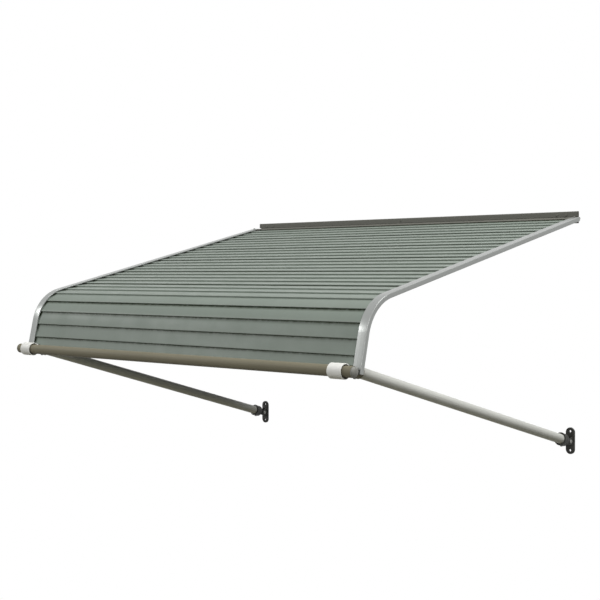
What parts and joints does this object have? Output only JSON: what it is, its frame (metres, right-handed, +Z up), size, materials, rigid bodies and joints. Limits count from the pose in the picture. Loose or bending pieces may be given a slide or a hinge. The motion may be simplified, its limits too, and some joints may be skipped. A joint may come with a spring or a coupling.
{
  "type": "aluminium door canopy",
  "caption": "Ribbed aluminium door canopy: lapped panels bent down at the front between channel rafters, on a wall header, with a front bar propped by tube arms to wall brackets.",
  "frame": {"origin": "on the wall header's back face, mid-width, level with the first rib line of the roof", "axes": "+X along the width to the right as seen from the street, +Y into the wall, +Z up"},
  "size_m": [1.2322, 0.9422, 0.6555],
  "materials": {
    "panel_paint": "satin grey-green paint on aluminium sheet",
    "header_paint": "satin brown-grey paint on extruded aluminium",
    "mill_aluminium": "satin, bare",
    "bar_paint": "satin olive-grey paint on drawn tube",
    "arm_paint": "satin, bare drawn tube",
    "white_nylon": "matt off-white",
    "black_casting": "matt black, glass-filled",
    "cap_plastic": "matt grey-brown",
    "zinc_steel": "zinc plated"
  },
  "bodies": {
    "canopy": {"wall_header": "header_paint", "rear_rail": "header_paint", "front_panel": "panel_paint", "front_bar": "bar_paint", "roof_panel_1": "panel_paint", "roof_panel_2": "panel_paint", "roof_panel_3": "panel_paint", "roof_panel_4": "panel_paint", "roof_panel_5": "panel_paint", "roof_panel_6": "panel_paint", "left_rafter": "mill_aluminium", "left_bar_cap": "cap_plastic", "left_bar_saddle": "black_casting", "left_bar_bolt": "zinc_steel", "left_fascia_screw_1": "header_paint", "left_fascia_screw_2": "header_paint", "left_rafter_screw": "zinc_steel", "right_rafter": "mill_aluminium", "right_bar_cap": "cap_plastic", "right_bar_saddle": "black_casting", "right_bar_bolt": "zinc_steel", "right_fascia_screw_1": "header_paint", "right_fascia_screw_2": "header_paint", "right_rafter_screw": "zinc_steel"},
    "left_arm": {"left_collar": "white_nylon", "left_front_ferrule": "bar_paint", "left_ferrule_screw": "zinc_steel", "left_arm_tube": "arm_paint", "left_rear_socket": "black_casting", "left_socket_screw": "zinc_steel"},
    "left_bracket": {"left_wall_bracket": "black_casting", "left_pivot_pin": "zinc_steel"},
    "right_arm": {"right_collar": "white_nylon", "right_front_ferrule": "bar_paint", "right_ferrule_screw": "zinc_steel", "right_arm_tube": "arm_paint", "right_rear_socket": "black_casting", "right_socket_screw": "zinc_steel"},
    "right_bracket": {"right_wall_bracket": "black_casting", "right_pivot_pin": "zinc_steel"}
  },
  "joints": [
    {"name": "left_arm_swing", "type": "hinge", "parent": "canopy", "child": "left_arm", "pos_m": [-0.573, -0.92487, -0.35135], "axis": [1, 0, 0], "range_deg": [-70, 3]},
    {"name": "left_bracket_swing", "type": "hinge", "parent": "left_arm", "child": "left_bracket", "pos_m": [-0.573, -0.017, -0.6005], "axis": [1, 0, 0], "range_deg": [-55, 55]},
    {"name": "right_arm_swing", "type": "hinge", "parent": "canopy", "child": "right_arm", "pos_m": [0.573, -0.92487, -0.35135], "axis": [1, 0, 0], "range_deg": [-70, 3]},
    {"name": "right_bracket_swing", "type": "hinge", "parent": "right_arm", "child": "right_bracket", "pos_m": [0.573, -0.017, -0.5895], "axis": [1, 0, 0], "range_deg": [-55, 55]}
  ]
}
